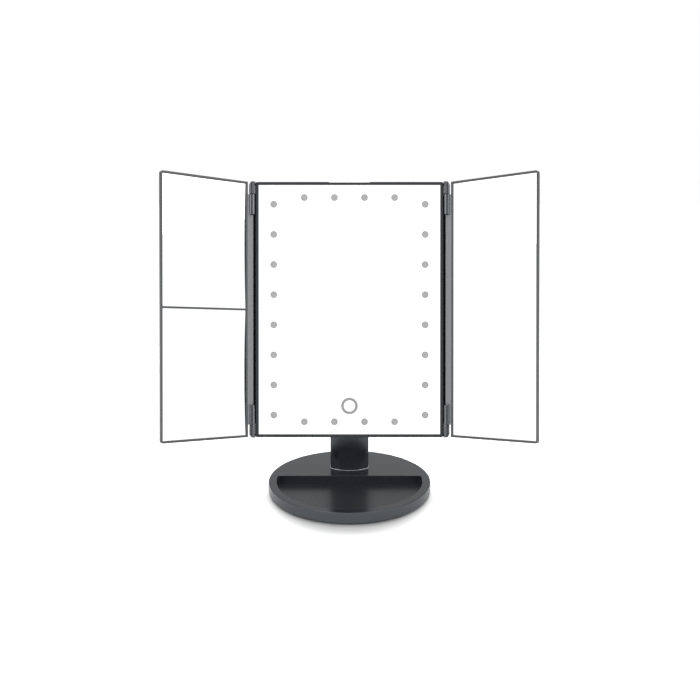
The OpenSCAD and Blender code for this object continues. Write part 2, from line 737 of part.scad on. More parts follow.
module left_upper_mirror() color("#dfe5ea") on_wing(-1)
  magnifier(upper_curve, [0.55, wing_glass_z]);

module left_lower_mirror() color("#dfe5ea") on_wing(-1)
  magnifier(lower_curve, [-wing_glass_z, -0.55]);

module left_pads() color("#6a6c6e") on_wing(-1) {
  magnifier_pad(upper_curve, [0.55, wing_glass_z]);
  magnifier_pad(lower_curve, [-wing_glass_z, -0.55]);
}

module right_frame() color("#2b2d31") on_wing(1) wing_frame();

module right_back() color("#2b2d31") on_wing(1) wing_back();

module right_mirror() color("#dfe5ea") on_wing(1)
  span([wing_glass_in, wing_glass_out], [lip_t + 0.02, pane_y], [-wing_glass_z, wing_glass_z]);

module right_pads() color("#6a6c6e") on_wing(1)
  for (x = [wing_glass_in + pad_inset, wing_glass_out - pad_inset - pad_w])
  span([x, x + pad_w], [pane_y + seat, wing_back_y - seat],
    [-wing_glass_z + pad_inset, wing_glass_z - pad_inset]);

// ---------- output ----------
base_shell();
base_plate();
base_plate_screws();
base_pad();
ballast();
stem();
stem_screws();
tilt_bolt();
tilt_nut();
tilt_washers();
bolt_caps();
centre_frame();
centre_mirror();
led_windows();
touch_ring();
touch_pad();
light_carrier();
led_boards();
led_chips();
mirror_tape();
control_board();
board_parts();
wires();
usb_inlet();
switch_body();
back_cover();
back_cover_screws();
battery_cells();
battery_contacts();
hinge_caps();
hinge_screws();
hinge_pins();
switch_knob();
battery_door();
left_frame();
left_back();
left_upper_mirror();
left_lower_mirror();
left_pads();
right_frame();
right_back();
right_mirror();
right_pads();
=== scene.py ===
# Trifold vanity mirror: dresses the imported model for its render.
# Sizes in the sections are millimetres in the CAD's own frames, turned into metres as each mesh is made.

import math

import bmesh
import bpy
from mathutils import Matrix, Vector
from mathutils.geometry import tessellate_polygon


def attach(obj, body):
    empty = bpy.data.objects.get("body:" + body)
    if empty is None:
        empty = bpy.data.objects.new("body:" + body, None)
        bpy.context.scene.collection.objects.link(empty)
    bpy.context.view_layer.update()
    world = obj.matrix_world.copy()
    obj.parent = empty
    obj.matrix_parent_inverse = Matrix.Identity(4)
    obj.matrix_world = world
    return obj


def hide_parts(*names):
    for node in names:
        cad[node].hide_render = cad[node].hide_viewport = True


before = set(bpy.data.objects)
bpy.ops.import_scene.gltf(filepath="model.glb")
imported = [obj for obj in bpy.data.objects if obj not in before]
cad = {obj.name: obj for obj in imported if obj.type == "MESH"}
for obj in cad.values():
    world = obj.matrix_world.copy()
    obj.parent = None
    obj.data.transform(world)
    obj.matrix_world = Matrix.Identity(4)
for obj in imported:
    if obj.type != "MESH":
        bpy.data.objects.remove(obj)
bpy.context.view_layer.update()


# ---- Base shell ----
# The round foot is one injection-moulded ABS shell, semi-gloss and open below. A D-shaped tray with a
# satin floor is sunk into its front half, with a straight back wall and a narrow rim. Four bosses
# inside take the base plate's screws, and two holes in its top let the stem's screws through.
BASE_R, BASE_LOW, BASE_TOP = 75.0, 1.5, 11.0
SKIRT, CEILING, SHELL_EDGE, TRAY_EDGE = 2.2, 9.0, 0.7, 0.45
TRAY_RIM, TRAY_BACK, TRAY_CORNER, TRAY_FLOOR = 7.5, 8.0, 1.6, 3.3
TUB_WALL, TUB_LOW = 1.6, 2.4
BOSS_ANGLES, BOSS_IN, BOSS_R, BOSS_BORE, BOSS_BORE_TOP = (20, 65, 115, 160), 9, 3.4, 1.45, 8.5
POST_X, POST_Y, SCREW_WAY = 12.0, 27.9, 1.7
# The shell's points are (x, height, y), and this swaps the last two.
LEVEL = Matrix(((1, 0, 0, 0), (0, 0, 1, 0), (0, 1, 0, 0), (0, 0, 0, 1)))


def new_form():
    return {"points": [], "faces": [], "finish": []}


def ring(form, points):
    start = len(form["points"])
    form["points"].extend(points)
    return list(range(start, start + len(points)))


def flat_ring(form, outline, y):
    """A ring of points at one y, from an outline of (x, z) pairs."""
    return ring(form, [(x, y, z) for x, z in outline])


def level_ring(form, outline, z, side=1):
    """A ring of points at one z, from an outline of (x, y) pairs; a side of -1 mirrors it."""
    return ring(form, [(side * x, y, z) for x, y in outline])


def wall(form, lower, upper, finish=0):
    count = len(lower)
    for i in range(count):
        j = (i + 1) % count
        form["faces"].append((lower[i], lower[j], upper[j], upper[i]))
        form["finish"].append(finish)


def walls(form, rows, finish=0):
    for lower, upper in zip(rows, rows[1:]):
        wall(form, lower, upper, finish)


def face(form, loops, finish=0):
    corners = [[Vector(form["points"][i]) for i in loop] for loop in loops]
    flat = [i for loop in loops for i in loop]
    for triangle in tessellate_polygon(corners):
        form["faces"].append(tuple(flat[k] for k in triangle))
        form["finish"].append(finish)


def inset(outline, by):
    """Moves each side of a closed anticlockwise outline inwards, keeping its corners."""
    moved = []
    for i, (x, z) in enumerate(outline):
        ax, az = outline[i - 1]
        cx, cz = outline[(i + 1) % len(outline)]
        before = Vector((x - ax, z - az)).normalized()
        after = Vector((cx - x, cz - z)).normalized()
        side = Vector((-before.y - after.y, before.x + after.x))
        side /= max(0.2, 1 + before.dot(after))
        moved.append((x + by * side.x, z + by * side.y))
    return moved


def edge_round(radius, steps=4):
    """(inset, depth) pairs round a quarter turn, from a face to its wall."""
    turns = [math.pi / 2 * i / steps for i in range(steps + 1)]
    return [(radius * (1 - math.sin(a)), radius * (1 - math.cos(a))) for a in turns]


def arc(cx, cz, r, start, end, steps):
    turns = [math.radians(start + (end - start) * i / steps) for i in range(steps + 1)]
    return [(cx + r * math.cos(a), cz + r * math.sin(a)) for a in turns]


def circle(cx, cz, r, count):
    return arc(cx, cz, r, 0, 360 - 360 / count, count - 1)


def shade_evenly(thing):
    even = thing.modifiers.new("even shading", "WEIGHTED_NORMAL")
    even.keep_sharp = True


def piece(name, form, finishes, body, stands_for, place=Matrix(), crease=35):
    """Turns a form into a mesh object on its body, in place of the CAD nodes it stands for."""
    mesh = bpy.data.meshes.new(name)
    points = [(place @ Vector(p)) * 0.001 for p in form["points"]]
    mesh.from_pydata(points, [], form["faces"])
    for number, polygon in zip(form["finish"], mesh.polygons):
        polygon.material_index = number
    work = bmesh.new()
    work.from_mesh(mesh)
    bmesh.ops.remove_doubles(work, verts=work.verts, dist=1e-7)
    bmesh.ops.recalc_face_normals(work, faces=work.faces)
    work.to_mesh(mesh)
    work.free()
    for material in finishes:
        mesh.materials.append(material)
    mesh.shade_smooth()
    mesh.set_sharp_from_angle(angle=math.radians(crease))
    made = bpy.data.objects.new(name, mesh)
    bpy.context.scene.collection.objects.link(made)
    shade_evenly(made)
    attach(made, body)
    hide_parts(*stands_for)


def group(name, ins, outs):
    """An empty shader group with its sockets: ins are (name, type, default), outs (name, type)."""
    tree = bpy.data.node_groups.new(name, "ShaderNodeTree")
    for label, kind, value in ins:
        socket = tree.interface.new_socket(label, in_out="INPUT", socket_type="NodeSocket" + kind)
        socket.default_value = value
    for label, kind in outs:
        tree.interface.new_socket(label, in_out="OUTPUT", socket_type="NodeSocket" + kind)
    return tree, tree.nodes.new("NodeGroupInput"), tree.nodes.new("NodeGroupOutput")


def joined(tree, kind, *links, **values):
    """A node with its inputs linked, given as (input, node, output), and its own settings."""
    made = tree.nodes.new(kind)
    for key, value in values.items():
        setattr(made, key, value)
    for target, source, output in links:
        tree.links.new(source.outputs[output], made.inputs[target])
    return made


# Skin of a moulded part: the fine spark grain of the tool and the faint marks that hands leave.
skin, skin_in, skin_out = group(
    "moulded_skin",
    [("Grain size", "Float", 1200.0), ("Mark size", "Float", 18.0),
     ("Clean", "Float", 0.2), ("Handled", "Float", 0.3)],
    [("Height", "Float"), ("Roughness", "Float")])
skin_at = skin.nodes.new("ShaderNodeTexCoord")
skin_grain = joined(skin, "ShaderNodeTexNoise",
                    ("Vector", skin_at, "Object"), ("Scale", skin_in, "Grain size"))
skin_grain.inputs["Detail"].default_value = 3
skin_marks = joined(skin, "ShaderNodeTexNoise",
                    ("Vector", skin_at, "Object"), ("Scale", skin_in, "Mark size"))
skin_marks.inputs["Detail"].default_value = 5
skin_marks.inputs["Roughness"].default_value = 0.62
skin_mask = joined(skin, "ShaderNodeMapRange", ("Value", skin_marks, "Fac"))
skin_mask.inputs["From Min"].default_value = 0.42
skin_mask.inputs["From Max"].default_value = 0.72
skin_rough = joined(skin, "ShaderNodeMapRange", ("Value", skin_mask, "Result"),
                    ("To Min", skin_in, "Clean"), ("To Max", skin_in, "Handled"))
skin.links.new(skin_grain.outputs["Fac"], skin_out.inputs["Height"])
skin.links.new(skin_rough.outputs["Result"], skin_out.inputs["Roughness"])

# Dust: pale specks that settle on a face, over its own colour.
dust, dust_in, dust_out = group(
    "settled_dust",
    [("Colour", "Color", (0.02, 0.02, 0.02, 1)), ("Dust", "Color", (0.35, 0.35, 0.34, 1)),
     ("Amount", "Float", 0.04), ("Size", "Float", 400.0)],
    [("Colour", "Color")])
dust_at = dust.nodes.new("ShaderNodeTexCoord")
dust_spots = joined(dust, "ShaderNodeTexNoise", ("Vector", dust_at, "Object"), ("Scale", dust_in, "Size"))
dust_spots.inputs["Detail"].default_value = 4
dust_mask = joined(dust, "ShaderNodeMapRange", ("Value", dust_spots, "Fac"), ("To Max", dust_in, "Amount"))
dust_mask.inputs["From Min"].default_value = 0.55
dust_mask.inputs["From Max"].default_value = 0.8
dust_mix = joined(dust, "ShaderNodeMix", ("Factor", dust_mask, "Result"), data_type="RGBA")
dust.links.new(dust_in.outputs["Colour"], dust_mix.inputs["A"])
dust.links.new(dust_in.outputs["Dust"], dust_mix.inputs["B"])
dust.links.new(dust_mix.outputs["Result"], dust_out.inputs["Colour"])


def placed(tree, which, **values):
    node = tree.nodes.new("ShaderNodeGroup")
    node.node_tree = which
    for label, value in values.items():
        node.inputs[label.replace("_", " ")].default_value = value
    return node


def new_finish(name, **values):
    """A material with a Principled BSDF; values go on the shader's own sockets."""
    made = bpy.data.materials.new(name)
    made.use_nodes = True
    shader = made.node_tree.nodes["Principled BSDF"]
    for label, value in values.items():
        shader.inputs[label.replace("_", " ")].default_value = value
    return made, made.node_tree, shader


def moulded(name, colour, clean, handled, grain=1200.0, depth=0.03, dusty=0.03, **values):
    """A moulded plastic or painted finish, with grain, handling marks and dust."""
    made, tree, shader = new_finish(name, **values)
    marks = placed(tree, skin, Grain_size=grain, Clean=clean, Handled=handled)
    tone = placed(tree, dust, Colour=(*colour, 1), Amount=dusty)
    relief = joined(tree, "ShaderNodeBump", ("Height", marks, "Height"))
    relief.inputs["Strength"].default_value = depth
    relief.inputs["Distance"].default_value = 0.0002
    tree.links.new(tone.outputs["Colour"], shader.inputs["Base Color"])
    tree.links.new(marks.outputs["Roughness"], shader.inputs["Roughness"])
    tree.links.new(relief.outputs["Normal"], shader.inputs["Normal"])
    return made


black_gloss = moulded("black gloss ABS", (0.011, 0.0125, 0.015), 0.18, 0.28, depth=0.02, IOR=1.7,
                     Specular_Tint=(0.86, 0.93, 1.0, 1))


def tray_line(grow):
    """The tray's D-shaped outline, grown by some millimetres."""
    r, back, c = BASE_R - TRAY_RIM + grow, TRAY_BACK + grow, TRAY_CORNER + grow
    cz = back - c
    cx = math.sqrt((r - c) ** 2 - cz ** 2)
    lean = math.degrees(math.atan2(cz, cx))
    line = arc(0, 0, r, 180 - lean, 360 + lean, 220)
    line += arc(cx, cz, c, lean, 90, 14)[1:]
    line += [(cx - 2 * cx * i / 40, back) for i in range(1, 41)]
    return line + arc(-cx, cz, c, 90, 180 - lean, 14)[1:-1]


shell = new_form()
outer_rows = [(SKIRT, CEILING), (SKIRT, BASE_LOW + 0.01), (0.45, BASE_LOW + 0.01),
              (0.1, BASE_LOW + 0.2), (0, BASE_LOW + 0.5)]
outer_rows += [(a, BASE_TOP - d) for a, d in reversed(edge_round(SHELL_EDGE, 6))]
rows = [flat_ring(shell, circle(0, 0, BASE_R - by, 288), level) for by, level in outer_rows]
walls(shell, rows)
tub = [flat_ring(shell, tray_line(TUB_WALL), level) for level in (CEILING, TUB_LOW)]
walls(shell, tub)
face(shell, [tub[1]])
bosses = []
for angle in BOSS_ANGLES:
    turn = math.radians(angle)
    cx, cz = (BASE_R - BOSS_IN) * math.cos(turn), (BASE_R - BOSS_IN) * math.sin(turn)
    steps = ((BOSS_R, CEILING), (BOSS_R, TUB_LOW), (BOSS_BORE, TUB_LOW), (BOSS_BORE, BOSS_BORE_TOP))
    turns = [flat_ring(shell, circle(cx, cz, r, 24), level) for r, level in steps]
    walls(shell, turns)
    face(shell, [turns[-1]])
    bosses.append(turns[0])
ways = [[flat_ring(shell, circle(side * POST_X, POST_Y, SCREW_WAY, 24), level)
         for level in (CEILING, BASE_TOP)] for side in (-1, 1)]
for way in ways:
    walls(shell, way)
face(shell, [rows[0], tub[0]] + bosses + [way[0] for way in ways])
tray_rows = [(a, BASE_TOP - d) for a, d in edge_round(TRAY_EDGE, 4)] + [(0, TRAY_FLOOR)]
sunk = [flat_ring(shell, tray_line(grow), level) for grow, level in tray_rows]
walls(shell, sunk)
face(shell, [rows[-1], sunk[0]] + [way[1] for way in ways])
face(shell, [sunk[-1]], 1)
black_satin = moulded("black satin tray floor", (0.010, 0.011, 0.0125), 0.27, 0.36, depth=0.04,
                      IOR=1.66, Specular_Tint=(0.9, 0.95, 1.0, 1))
piece("base_shell_moulding", shell, [black_gloss, black_satin], "stand", ["base_shell"],
      LEVEL)


# ---- Base underside ----
# A thin zinc-plated steel plate closes the shell and holds down an iron ballast block. Four small
# cross-head screws fix it, and a glued rubber pad hides them and stops the foot sliding.


def dressed(name, material, soften=0.0):
    """Gives a carried-over CAD node its material, with its edges softened by a few tenths."""
    node = cad[name]
    node.data.materials.clear()
    node.data.materials.append(material)
    if soften:
        weld = node.modifiers.new("weld", "WELD")
        weld.merge_threshold = 1e-6
        round_off = node.modifiers.new("soft edges", "BEVEL")
        round_off.width = soften * 0.001
        round_off.segments = 2
        round_off.limit_method = "ANGLE"
        round_off.angle_limit = math.radians(38)
        round_off.harden_normals = False
        shade_evenly(node)


# Streaks of a plated or brushed metal, drawn out along one axis.
streaks, streaks_in, streaks_out = group(
    "metal_streaks", [("Low", "Float", 0.2), ("High", "Float", 0.4)],
    [("Height", "Float"), ("Roughness", "Float")])
streaks_at = streaks.nodes.new("ShaderNodeTexCoord")
streaks_drawn = joined(streaks, "ShaderNodeMapping", ("Vector", streaks_at, "Object"))
streaks_drawn.inputs["Scale"].default_value = (1, 1, 60)
streaks_noise = joined(streaks, "ShaderNodeTexNoise", ("Vector", streaks_drawn, "Vector"))
streaks_noise.inputs["Scale"].default_value = 90
streaks_noise.inputs["Detail"].default_value = 6
streaks_rough = joined(streaks, "ShaderNodeMapRange", ("Value", streaks_noise, "Fac"),
                       ("To Min", streaks_in, "Low"), ("To Max", streaks_in, "High"))
streaks.links.new(streaks_noise.outputs["Fac"], streaks_out.inputs["Height"])
streaks.links.new(streaks_rough.outputs["Result"], streaks_out.inputs["Roughness"])


def metal(name, colour, rough):
    """A plated or brushed metal: fine streaks vary its roughness and relief."""
    made, tree, shader = new_finish(name, Metallic=1.0)
    brushed = placed(tree, streaks, Low=rough * 0.75, High=rough * 1.35)
    tone = placed(tree, dust, Colour=(*colour, 1), Amount=0.05, Size=700.0)
    relief = joined(tree, "ShaderNodeBump", ("Height", brushed, "Height"))
    relief.inputs["Strength"].default_value = 0.05
    relief.inputs["Distance"].default_value = 0.0001
    tree.links.new(tone.outputs["Colour"], shader.inputs["Base Color"])
    tree.links.new(brushed.outputs["Roughness"], shader.inputs["Roughness"])
    tree.links.new(relief.outputs["Normal"], shader.inputs["Normal"])
    return made


zinc = metal("zinc plate", (0.34, 0.35, 0.37), 0.36)
raw_iron = moulded("raw cast iron", (0.10, 0.10, 0.105), 0.5, 0.7, grain=900, depth=0.5, Metallic=0.8)
rubber = moulded("matt rubber", (0.022, 0.022, 0.023), 0.65, 0.8, grain=1500, depth=0.25, dusty=0.1)
dressed("base_plate", zinc)
dressed("base_plate_screws", zinc)
dressed("ballast", raw_iron, 0.4)
dressed("base_pad", rubber, 0.3)


# ---- Stem ----
# A hollow moulded ABS column with a rounded front and a thin bead, painted with a highlight, where it meets
# the base.
# Its top is a fork that carries the head's tilt bolt. Two screws come up into it through the base.
STEM_X, STEM_FRONT, STEM_BACK, STEM_FOOT = 18.2, 19.5, 34.5, 11.05
SHOULDER, FLAT_SHOULDER, TAPER_Z, TAPER = 26.1, 19.6, 75.4, 3
# A hollow is given by its half width and the wall round it. The upper one starts at STEP_Z.
LOW_HOLLOW, HIGH_HOLLOW, STEP_Z = (7.6, 2.8), (15.6, 2.6), 27.05
POST_BORE, POST_DEEP = 1.55, 13
PIVOT_Y, PIVOT_Z, CROTCH_Z, LUG_IN, LUG_R = 27.0, 93.9, 83.4, 11.6, 7.5
CAP_BORE, CAP_SEAT, BOLT_BORE, FORK_EDGE = 4.4, 15.9, 3.05, 0.5


def soft_corners(outline, radius, steps=4, least=20):
    """Rounds each corner of a closed outline that turns by more than a few degrees."""
    done = []
    for i, point in enumerate(outline):
        here = Vector(point)
        back, on = Vector(outline[i - 1]) - here, Vector(outline[(i + 1) % len(outline)]) - here
        turn = math.pi - back.angle(on)
        if math.degrees(turn) < least:
            done.append(tuple(here))
            continue
        cut = min(radius * math.tan(turn / 2), 0.48 * back.length, 0.48 * on.length)
        start, end = here + back.normalized() * cut, here + on.normalized() * cut
        for k in range(steps + 1):
            t = k / steps
            done.append(tuple(start * (1 - t) ** 2 + here * 2 * t * (1 - t) + end * t ** 2))
    return done


def bow_radius(shoulder):
    """Radius of the bowed front that meets the column's sides at the Y called shoulder."""
    bow = max(shoulder - STEM_FRONT, 0.001)
    return (STEM_X ** 2 + bow ** 2) / (2 * bow)


def stem_line(shoulder):
    """The column's outer section."""
    radius = bow_radius(shoulder)
    half = math.degrees(math.asin(min(1, STEM_X / radius)))
    front = arc(0, STEM_FRONT + radius, radius, -90 - half, -90 + half, 28)
    return soft_corners(front + [(STEM_X, STEM_BACK), (-STEM_X, STEM_BACK)], 1.3)


def hollow_line(half, thick):
    """The section of a hollow, its front bowed like the column's."""
    radius = bow_radius(SHOULDER)
    turn = math.degrees(math.asin(half / (radius - thick)))
    front = arc(0, STEM_FRONT + radius, radius - thick, -90 - turn, -90 + turn, 20)
    return front + [(half, STEM_BACK - thick), (-half, STEM_BACK - thick)]


column = new_form()
# How far the bead stands out, and at what height above the foot.
bead = [(0.1, 0.0), (0.35, 0.1), (0.55, 0.25), (0.6, 0.5), (0.5, 0.75), (0.25, 0.9), (0.05, 1.0), (0, 1.3)]
# The bead's upper rows get a lighter metal: a painted highlight.
highlight_rows = range(2, 6)
levels = [(SHOULDER, -grow, STEM_FOOT + up) for grow, up in bead] + [(SHOULDER, 0, TAPER_Z)]
levels += [(SHOULDER + (FLAT_SHOULDER - SHOULDER) * t, 0, TAPER_Z + TAPER * t)
           for t in (0.25, 0.5, 0.75, 1)]
levels += [(FLAT_SHOULDER, a, CROTCH_Z - d) for a, d in reversed(edge_round(FORK_EDGE, 3))]
rows = [level_ring(column, inset(stem_line(shoulder), by), z) for shoulder, by, z in levels]
for number, (low, high) in enumerate(zip(rows, rows[1:])):
    wall(column, low, high, 1 if number in highlight_rows else 0)
face(column, [rows[-1]])
between = [level_ring(column, hollow_line(*LOW_HOLLOW), z) for z in (STEM_FOOT, STEP_Z)]
above = [level_ring(column, hollow_line(*HIGH_HOLLOW), z) for z in (STEP_Z, CROTCH_Z - HIGH_HOLLOW[1])]
walls(column, between)
walls(column, above)
face(column, [above[0], between[1]])
face(column, [above[1]])
ways = [[level_ring(column, circle(side * POST_X, POST_Y, POST_BORE, 24), z)
         for z in (STEM_FOOT, STEM_FOOT + POST_DEEP)] for side in (-1, 1)]
for low, high in ways:
    wall(column, low, high)
    face(column, [high])
face(column, [rows[0], between[0]] + [way[0] for way in ways])
ear_low = CROTCH_Z - 0.45
ear = [(STEM_FRONT, ear_low), (STEM_BACK, ear_low)] + arc(PIVOT_Y, PIVOT_Z, LUG_R, 0, 180, 36)
cap_way = circle(PIVOT_Y, PIVOT_Z, CAP_BORE, 36)
bolt_way = circle(PIVOT_Y, PIVOT_Z, BOLT_BORE, 36)
for side in (-1, 1):
    ear_rows = [(a, LUG_IN + d) for a, d in edge_round(FORK_EDGE, 3)]
    ear_rows += [(a, STEM_X - d) for a, d in reversed(edge_round(FORK_EDGE, 3))]
    rows = [ring(column, [(side * x, y, z if z > CROTCH_Z else ear_low) for y, z in inset(ear, by)])
            for by, x in ear_rows]
    walls(column, rows)
    sunk = [ring(column, [(side * x, y, z) for y, z in cap_way]) for x in (STEM_X, CAP_SEAT)]
    through = [ring(column, [(side * x, y, z) for y, z in bolt_way]) for x in (CAP_SEAT, LUG_IN)]
    walls(column, sunk)
    walls(column, through)
    face(column, [rows[-1], sunk[0]])
    face(column, [sunk[1], through[0]])
    face(column, [rows[0], through[1]])
# Lighter metal on the bead's upper faces, as a painted highlight.
bead_highlight_metal = metal("stem bead painted highlight", (0.36, 0.36, 0.38), 0.24)
piece("stem_column", column, [black_gloss, bead_highlight_metal], "stand", ["stem"], crease=30)
dressed("stem_screws", zinc)


# ---- Tilt bolt ----
# A shoulder bolt clamps the head's boss between the fork's ears, with a fibre washer on each side
# to give the friction that holds the mirror's angle. A nut and two press-in caps finish it.
fibre = moulded("fibre washer", (0.05, 0.045, 0.04), 0.7, 0.8, grain=2500, depth=0.3)
dressed("tilt_bolt", zinc)
dressed("tilt_nut", zinc)
dressed("tilt_washers", fibre)
dressed("bolt_caps", black_gloss, 0.3)


# ---- Centre frame ----
# The middle panel's bezel and side walls are one moulded ABS frame, screwed to the rear cover. A
# finger notch is scooped out of its top edge, to open the wings by, and a duller flange on each side
# fills the gap behind the hinge strip, painted near black as painted shade in that gap.
PANEL_X, PANEL_Z, PANEL_R, FRAME_DEEP = 85.3, 116.1, 1.5, 9.5
BEZEL, BEZEL_EDGE, LIP_R, LIP_EDGE, LIP_DEEP, SEAT = 2.7, 0.45, 0.4, 0.35, 0.8, 1.0
NOTCH_X, NOTCH_FLOOR_X, NOTCH_DEEP, NOTCH_BACK = 19.0, 18.2, 0.5, 5.0
FLANGE_X, FLANGE_Y, FLANGE_Z, FLANGE_IN, CHAMFER = 89.3, 5.8, 104.7, 0.4, 0.3
HEAD_LEAN, HEAD_FRONT, HEAD_UP = 13.34, 25, 70
HEAD = (Matrix.Translation((0, PIVOT_Y, PIVOT_Z)) @ Matrix.Rotation(math.radians(-HEAD_LEAN), 4, "X")
        @ Matrix.Translation((0, -HEAD_FRONT, HEAD_UP)))


def frame_line(x, z, r, scoop=0.0):
    """A rounded oblong whose top edge is let down by the notch's scoop."""
    line = arc(x - r, -z + r, r, -90, 0, 5) + arc(x - r, z - r, r, 0, 90, 5)
    line += [(NOTCH_X, z), (NOTCH_FLOOR_X, z - scoop), (-NOTCH_FLOOR_X, z - scoop), (-NOTCH_X, z)]
    return line + arc(-x + r, z - r, r, 90, 180, 5) + arc(-x + r, -z + r, r, 180, 270, 5)


def bar_rings(form, line, low, high, side=1, end=1):
    """Rings of an upright bar, chamfered round both ends; a side or end of -1 mirrors it."""
    steps = ((CHAMFER, low), (0, low + CHAMFER), (0, high - CHAMFER), (CHAMFER, high))
    return [level_ring(form, inset(line, by), end * z, side) for by, z in steps]


bezel = new_form()
outer_rows = [(0, FRAME_DEEP, 0.0), (0, NOTCH_BACK + 0.3, 0.0), (0, NOTCH_BACK, NOTCH_DEEP)]
outer_rows += [(a, d, NOTCH_DEEP) for a, d in reversed(edge_round(BEZEL_EDGE, 4))]
rows = [flat_ring(bezel, inset(frame_line(PANEL_X, PANEL_Z, PANEL_R, scoop), by), y)
        for by, y, scoop in outer_rows]
walls(bezel, rows)
lip_rows = [(-a, d) for a, d in edge_round(LIP_EDGE, 3)]
lip_rows += [(0, LIP_DEEP), (-SEAT, LIP_DEEP), (-SEAT, FRAME_DEEP)]
lips = [flat_ring(bezel, inset(frame_line(PANEL_X - BEZEL, PANEL_Z - BEZEL, LIP_R), by), y)
        for by, y in lip_rows]
walls(bezel, lips)
face(bezel, [rows[-1], lips[0]])
face(bezel, [rows[0], lips[-1]])
strip = soft_corners([(PANEL_X - FLANGE_IN, FLANGE_Y), (FLANGE_X, FLANGE_Y), (FLANGE_X, FRAME_DEEP),
                      (PANEL_X - FLANGE_IN, FRAME_DEEP)], 0.4)
for side in (-1, 1):
    ends = bar_rings(bezel, strip, -FLANGE_Z, FLANGE_Z, side)
    walls(bezel, ends, 1)
    face(bezel, [ends[0]], 1)
    face(bezel, [ends[-1]], 1)
# Near black and dull: painted shade in the gap behind the hinge strip.
gap_painted_shade = moulded("flange painted shade black", (0.003, 0.003, 0.0035), 0.6, 0.7, depth=0.1, dusty=0.0,
                       Specular_IOR_Level=0.15)
bezel_black = moulded("bezel black ABS", (0.010, 0.011, 0.013), 0.2, 0.28, depth=0.02, IOR=1.48,
                      Specular_Tint=(0.9, 0.95, 1.0, 1))
piece("centre_bezel", bezel, [bezel_black, gap_painted_shade], "head", ["centre_frame"],
      HEAD)


# ---- Centre mirror ----
# A 2 mm float-glass pane, silvered on the back. Round windows are left clear of silver over the
# lights, and a grey ring marks the touch switch.
COLUMN_X, ROW_Z, PITCH, RING_Z = 68.9, 102.0, 27.4, -87.6
# Radius and depth, from a window's back to its dark rim and its face, and round the grey ring.
window_rows = ((2.86, 2.6), (2.86, 0.83), (3.0, 0.81), (2.95, 0.79), (2.5, 0.79))
mark_rows = ((7.5, 0.815), (7.42, 0.79), (5.28, 0.79), (5.2, 0.815))


def silvered(name, ior, colour, specks, **wiped):
    """A silvered pane, with the faint marks of wiping and a little pale dust."""
    made, tree, shader = new_finish(name, Metallic=1.0, IOR=ior)
    marks = placed(tree, skin, **wiped)
    tone = placed(tree, dust, Colour=colour, Dust=(0.8, 0.8, 0.8, 1), Amount=0.05, Size=specks)
    tree.links.new(tone.outputs["Colour"], shader.inputs["Base Color"])
    tree.links.new(marks.outputs["Roughness"], shader.inputs["Roughness"])
    return made


silver = silvered("silvered glass", 1.5, (0.955, 0.965, 0.965, 1), 900.0,
                  Grain_size=300.0, Mark_size=9.0, Clean=0.004, Handled=0.016)
frosted = moulded("frosted window", (0.36, 0.36, 0.365), 0.45, 0.6, grain=1800, depth=0.08, dusty=0.02)
window_edge = moulded("window edge", (0.25, 0.25, 0.25), 0.45, 0.6, grain=1800, depth=0.05, dusty=0.02)
ring_ink = moulded("grey ink", (0.285, 0.285, 0.29), 0.4, 0.5, grain=1800, depth=0.05, dusty=0.02)
dressed("centre_mirror", silver)
windows = new_form()
columns = [(side * COLUMN_X, (i - 3.5) * PITCH) for side in (-1, 1) for i in range(8)]
crossways = [((i - 1.5) * PITCH, end * ROW_Z) for end in (-1, 1) for i in range(4)]
for cx, cz in columns + crossways:
    rows = [flat_ring(windows, circle(cx, cz, r, 32), y) for r, y in window_rows]
    wall(windows, rows[0], rows[1])
    walls(windows, rows[1:], 1)
    face(windows, [rows[0]])
    face(windows, [rows[-1]])
piece("frosted_windows", windows, [frosted, window_edge], "head", ["led_windows"], HEAD)
mark = new_form()
rows = [flat_ring(mark, circle(0, RING_Z, r, 96), y) for r, y in mark_rows]
walls(mark, rows + rows[:1])
piece("touch_mark", mark, [ring_ink], "head", ["touch_ring"], HEAD)


# ---- Light carrier ----
# Behind the glass a white plastic plate holds the light strips and is taped to the pane. The strips
# are white-masked circuit board, with one yellow phosphor light behind each window.
white_plastic = moulded("white carrier plastic", (0.78, 0.78, 0.75), 0.4, 0.5, grain=900, depth=0.05)
white_mask = moulded("white board mask", (0.82, 0.83, 0.80), 0.3, 0.36, grain=2000, depth=0.03)
phosphor = moulded("yellow phosphor", (0.85, 0.70, 0.18), 0.35, 0.4, grain=2500, depth=0.1)
foam = moulded("grey foam tape", (0.22, 0.22, 0.23), 0.85, 0.95, grain=2200, depth=0.6)
dressed("light_carrier", white_plastic, 0.2)
dressed("led_boards", white_mask)
dressed("led_chips", phosphor)
dressed("mirror_tape", foam)


# ---- Electronics ----
# A green control board senses the ring through a sprung brass pad and takes power from the battery
# bay or the inlet in the rear cover. Thin insulated wires join them, and a slide switch cuts the power.
board_green, tree, shader = new_finish("green board mask", Roughness=0.35)
at = tree.nodes.new("ShaderNodeTexCoord")
tracks = joined(tree, "ShaderNodeTexBrick", ("Vector", at, "Object"))
tracks.inputs["Scale"].default_value = 300
tracks.inputs["Color1"].default_value = (0.02, 0.16, 0.05, 1)
tracks.inputs["Color2"].default_value = (0.03, 0.20, 0.07, 1)
tracks.inputs["Mortar"].default_value = (0.05, 0.28, 0.10, 1)
tree.links.new(tracks.outputs["Color"], shader.inputs["Base Color"])
chip_black = moulded("chip moulding", (0.02, 0.02, 0.022), 0.5, 0.6, grain=3000, depth=0.2)
wire_red = moulded("red wire sleeve", (0.42, 0.02, 0.02), 0.35, 0.45, grain=2000, depth=0.05)
brass = metal("sprung brass", (0.72, 0.52, 0.20), 0.25)
dressed("control_board", board_green)
dressed("board_parts", chip_black, 0.1)
dressed("wires", wire_red)
dressed("touch_pad", brass)
dressed("usb_inlet", zinc)
dressed("switch_body", chip_black, 0.2)


